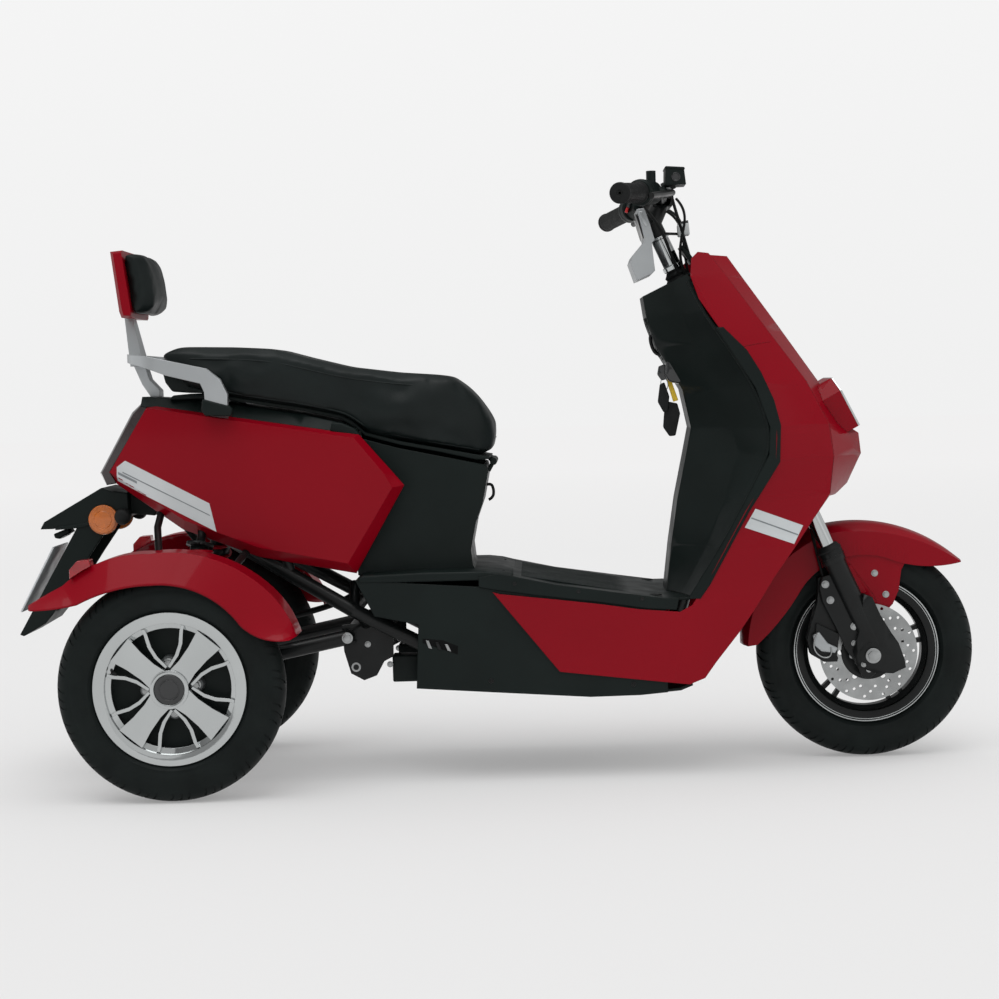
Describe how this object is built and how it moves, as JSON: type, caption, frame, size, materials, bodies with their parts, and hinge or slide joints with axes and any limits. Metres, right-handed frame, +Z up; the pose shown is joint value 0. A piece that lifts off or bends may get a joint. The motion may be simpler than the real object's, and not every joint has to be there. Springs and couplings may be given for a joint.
{
  "type": "electric three-wheeler",
  "caption": "Step-through electric three-wheeler with one steered front wheel, two rear wheels, long two-level seat, grab rail and backrest.",
  "frame": {"origin": "on the ground under the middle of the vehicle's overall box", "axes": "+X forward, +Y the rider's left, +Z up"},
  "size_m": [1.8724, 0.6934, 1.1499],
  "materials": {
    "axle_grey": "grey paint",
    "battery_case": "plain",
    "black_plastic": "satin textured",
    "cast_silver": "satin",
    "chrome": "polished",
    "frame_black": "satin black paint",
    "leatherette": "matte",
    "lens_amber": "amber",
    "lens_clear": "clear",
    "lens_red": "red",
    "lens_smoked": "smoked",
    "red_paint": "gloss crimson paint",
    "rubber": "matte",
    "steel": "brushed",
    "tyre": "matte"
  },
  "bodies": {
    "chassis": {"backrest_pad": "leatherette", "backrest_shell": "red_paint", "battery_pack": "battery_case", "belly_pan": "black_plastic", "fender_lamps": "lens_red", "footboard": "black_plastic", "front_aprons": "red_paint", "front_mask": "red_paint", "grab_rail": "cast_silver", "headlamp_housing": "red_paint", "headlamp_lens": "lens_clear", "headlamp_trim": "chrome", "legshield": "black_plastic", "main_frame": "frame_black", "plate_bracket": "black_plastic", "rear_arms": "frame_black", "rear_axle": "axle_grey", "rear_fenders": "red_paint", "rear_shocks": "steel", "seat_box": "black_plastic", "side_reflectors": "lens_amber", "tail_cover": "black_plastic", "tail_lamp": "lens_smoked", "tail_panels": "red_paint"},
    "steering": {"steering_stem": "frame_black", "fork_legs": "frame_black", "front_axle": "steel", "front_caliper": "frame_black", "front_fender": "red_paint", "handlebar": "frame_black", "grips": "rubber", "switch_pods": "black_plastic", "brake_levers": "cast_silver", "brake_reservoir": "black_plastic", "instrument_cover": "cast_silver"},
    "seat": {"seat_cushion": "leatherette", "seat_base": "black_plastic"},
    "front_wheel": {"front_tyre": "tyre", "front_rim": "frame_black", "brake_disc": "steel"},
    "rear_wheel_left": {"rear_left_tyre": "tyre", "rear_left_rim": "chrome", "rear_left_drum": "axle_grey"},
    "rear_wheel_right": {"rear_right_tyre": "tyre", "rear_right_rim": "chrome", "rear_right_drum": "axle_grey"}
  },
  "joints": [
    {"name": "steer", "type": "hinge", "parent": "chassis", "child": "steering", "pos_m": [0.5853, 0, 0.48], "axis": [-0.4067, 0, 0.9135], "range_deg": [-38, 38]},
    {"name": "front_wheel_spin", "type": "hinge", "parent": "steering", "child": "front_wheel", "pos_m": [0.7233, 0, 0.2125], "axis": [0, 1, 0], "continuous": true},
    {"name": "rear_wheel_left_spin", "type": "hinge", "parent": "chassis", "child": "rear_wheel_left", "pos_m": [-0.6017, 0.2805, 0.2125], "axis": [0, 1, 0], "continuous": true},
    {"name": "rear_wheel_right_spin", "type": "hinge", "parent": "chassis", "child": "rear_wheel_right", "pos_m": [-0.6017, -0.2805, 0.2125], "axis": [0, 1, 0], "continuous": true},
    {"name": "seat_lift", "type": "hinge", "parent": "chassis", "child": "seat", "pos_m": [0.0023, 0, 0.606], "axis": [0, 1, 0], "range_deg": [0, 65]}
  ]
}
